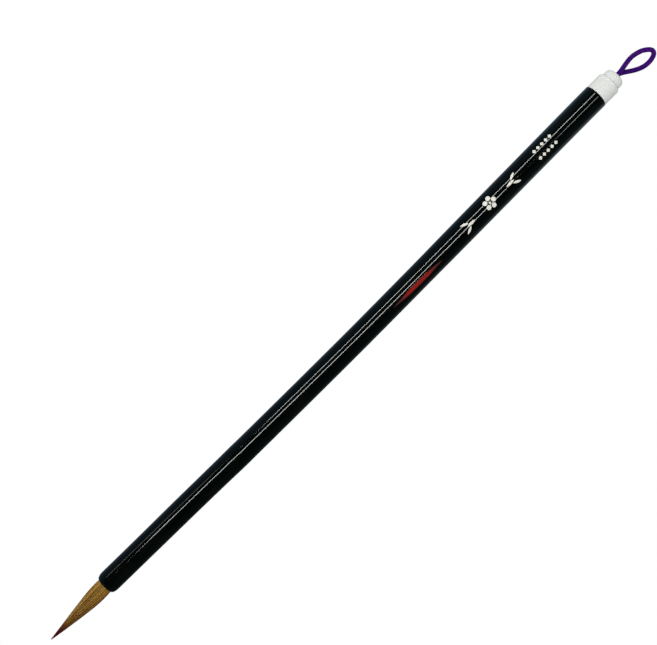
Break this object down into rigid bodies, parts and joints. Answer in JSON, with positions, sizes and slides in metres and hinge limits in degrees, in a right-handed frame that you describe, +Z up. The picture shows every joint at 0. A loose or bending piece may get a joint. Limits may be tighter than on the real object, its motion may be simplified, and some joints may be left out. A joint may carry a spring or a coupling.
{
  "type": "calligraphy brush",
  "caption": "Fine calligraphy brush: black lacquered bamboo handle, pointed golden hair tuft that bends, white end cap and a purple cord hanging loop.",
  "frame": {"origin": "under the middle of the brush, on the surface that it lies on: X is midway between the tuft's point and the cap's end, Y is on the brush's axis and Z = 0 is the handle's lowest line", "axes": "+X along the brush from the tuft towards the cap and its loop, +Z up, away from the surface"},
  "size_m": [0.2736, 0.0094, 0.0084],
  "materials": {
    "black_lacquer": "glossy black lacquer over bamboo",
    "red_lacquer": "glossy red lacquer",
    "cream_fill": "satin cream paint fill",
    "core_hair": "fine animal hair with dark red-brown points",
    "mantle_hair": "fine golden-brown animal hair",
    "thread": "waxed thread",
    "resin": "amber resin",
    "glue": "clear yellowish glue",
    "white_plastic": "off-white, slightly translucent moulded plastic",
    "purple_cord": "braided purple cord"
  },
  "bodies": {
    "handle": {"handle_shaft": "black_lacquer", "red_groove_lacquer": "red_lacquer", "lower_leaf_mark": "cream_fill", "blossom_mark": "cream_fill", "upper_leaf_mark": "cream_fill", "lozenge_rows": "cream_fill", "core_hair_root": "core_hair", "belly_hair_root": "mantle_hair", "mantle_hair_root": "mantle_hair", "root_thread": "thread", "root_seal": "resin", "socket_glue": "glue", "end_cap": "white_plastic", "cap_glue": "glue", "cord_tails": "purple_cord", "cord_knot": "purple_cord"},
    "tuft": {"core_hair": "core_hair", "belly_hair": "mantle_hair", "mantle_hair": "mantle_hair"},
    "loop": {"hanging_loop": "purple_cord"}
  },
  "joints": [
    {"name": "tuft_bend", "type": "hinge", "parent": "handle", "child": "tuft", "pos_m": [-0.1062, 0, 0.0042], "axis": [0, 0, 1], "range_deg": [-35, 35], "stiffness_Nm_per_rad": 0.005},
    {"name": "loop_swing", "type": "hinge", "parent": "handle", "child": "loop", "pos_m": [0.1286, 0, 0.0042], "axis": [0, 0, 1], "range_deg": [-35, 35]}
  ]
}
